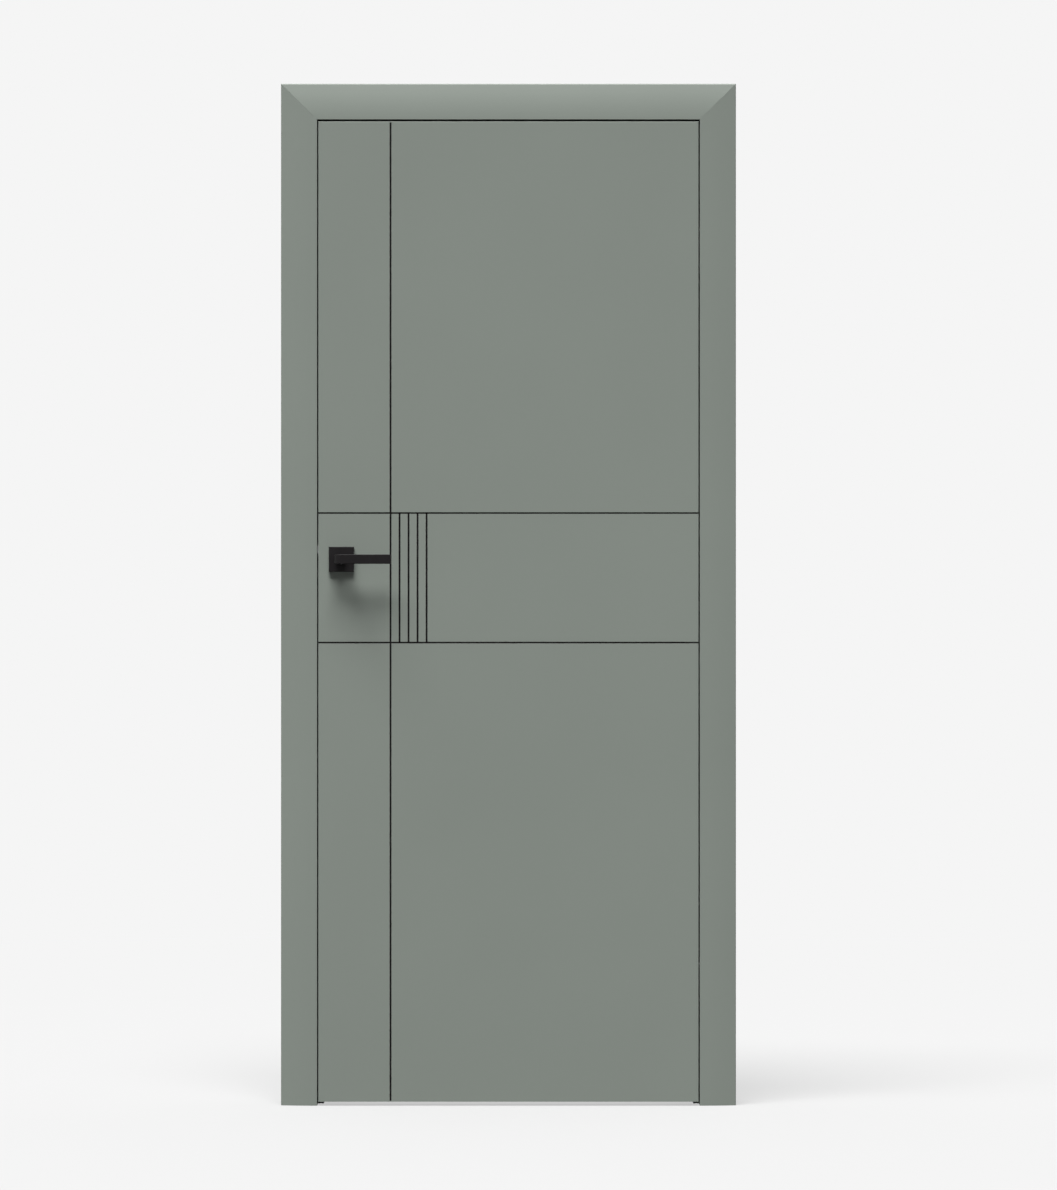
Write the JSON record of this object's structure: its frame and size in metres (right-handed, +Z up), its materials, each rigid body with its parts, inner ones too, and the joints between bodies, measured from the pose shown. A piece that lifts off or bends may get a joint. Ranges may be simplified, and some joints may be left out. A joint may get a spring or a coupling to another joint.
{
  "type": "interior door",
  "caption": "Flush interior door in a mitred frame, with thin dark inlay lines across a grey-green face and a black lever on a square rose; leaf, lever, latch and concealed hinges move.",
  "frame": {"origin": "on the floor, midway across the door and midway between the front lever's face and the back casing's face", "axes": "+X to the hinge side, +Y from the face of the door to its back, +Z up"},
  "size_m": [0.929, 0.187, 2.086],
  "materials": {
    "lacquer": "smooth matt grey-green lacquer on fibreboard",
    "inlay_black": "matt black anodised strip",
    "handle_black": "fine matt black powder coat",
    "seal_rubber": "soft dark rubber",
    "zinc_steel": "zinc-plated steel",
    "brushed_steel": "brushed stainless steel",
    "hinge_zinc": "satin metal die casting",
    "hinge_steel": "brushed steel",
    "base_plastic": "matt black plastic",
    "pine": "planed softwood",
    "chipboard": "raw chipboard"
  },
  "bodies": {
    "frame": {"casing_front_head": "lacquer", "casing_front_hinge_side": "lacquer", "casing_front_latch_side": "lacquer", "casing_rear_head": "lacquer", "casing_rear_hinge_side": "lacquer", "casing_rear_latch_side": "lacquer", "hinge_backing_blocks": "pine", "hinge_frame_body_lower": "hinge_zinc", "hinge_frame_body_upper": "hinge_zinc", "hinge_frame_pins": "zinc_steel", "jamb_corner_brackets": "zinc_steel", "jamb_head": "lacquer", "jamb_hinge_side": "lacquer", "jamb_latch_side": "lacquer", "seal_head": "seal_rubber", "seal_hinge_side": "seal_rubber", "seal_latch_side": "seal_rubber", "strike_plate": "brushed_steel"},
    "leaf": {"edge_band_hinge_side": "lacquer", "edge_band_latch_side": "lacquer", "edge_band_top": "lacquer", "facing_back": "lacquer", "facing_front": "lacquer", "hinge_leaf_body_lower": "hinge_zinc", "hinge_leaf_body_upper": "hinge_zinc", "hinge_leaf_pins": "zinc_steel", "inlay_cross": "inlay_black", "inlay_long": "inlay_black", "inlay_short": "inlay_black", "latch_case": "zinc_steel", "latch_case_cover": "zinc_steel", "latch_faceplate": "brushed_steel", "latch_spring": "zinc_steel", "leaf_core": "chipboard", "lock_block": "pine", "rail_bottom": "pine", "rail_top": "pine", "rose_back": "handle_black", "rose_base_back": "base_plastic", "rose_base_front": "base_plastic", "rose_bolts": "zinc_steel", "rose_front": "handle_black", "stile_hinge_side": "pine", "stile_latch_side": "pine"},
    "lever": {"lever_front": "handle_black", "lever_back": "handle_black", "spindle": "zinc_steel", "latch_follower": "zinc_steel"},
    "latch": {"latch_bolt": "zinc_steel"},
    "frame_links": {"hinge_frame_link_lower": "hinge_steel", "hinge_frame_link_upper": "hinge_steel"},
    "leaf_links": {"hinge_leaf_link_lower": "hinge_steel", "hinge_leaf_link_upper": "hinge_steel"}
  },
  "joints": [
    {"name": "leaf_swing", "type": "hinge", "parent": "frame", "child": "leaf", "pos_m": [0.38925, -0.04, 1], "axis": [0, 0, 1], "range_deg": [0, 105]},
    {"name": "frame_link_turn", "type": "hinge", "parent": "frame", "child": "frame_links", "pos_m": [0.39475, -0.0225, 1], "axis": [0, 0, 1], "range_deg": [0, 65]},
    {"name": "leaf_link_turn", "type": "hinge", "parent": "leaf", "child": "leaf_links", "pos_m": [0.38375, -0.0225, 1], "axis": [0, 0, 1], "range_deg": [-65, 0]},
    {"name": "lever_turn", "type": "hinge", "parent": "leaf", "child": "lever", "pos_m": [-0.3407, -0.0185, 1.1147], "axis": [0, 1, 0], "range_deg": [0, 40], "stiffness_Nm_per_rad": 1.5, "springref_deg": -17.19},
    {"name": "bolt_slide", "type": "slide", "parent": "leaf", "child": "latch", "axis": [1, 0, 0], "range_m": [0, 0.0112], "deforming": ["latch_spring"]}
  ],
  "couplings": [
    {"joint": "frame_link_turn", "follows": "leaf_swing", "ratio": 0.61},
    {"joint": "leaf_link_turn", "follows": "leaf_swing", "ratio": -0.61},
    {"joint": "bolt_slide", "follows": "lever_turn", "m_per_rad": 0.01575}
  ]
}
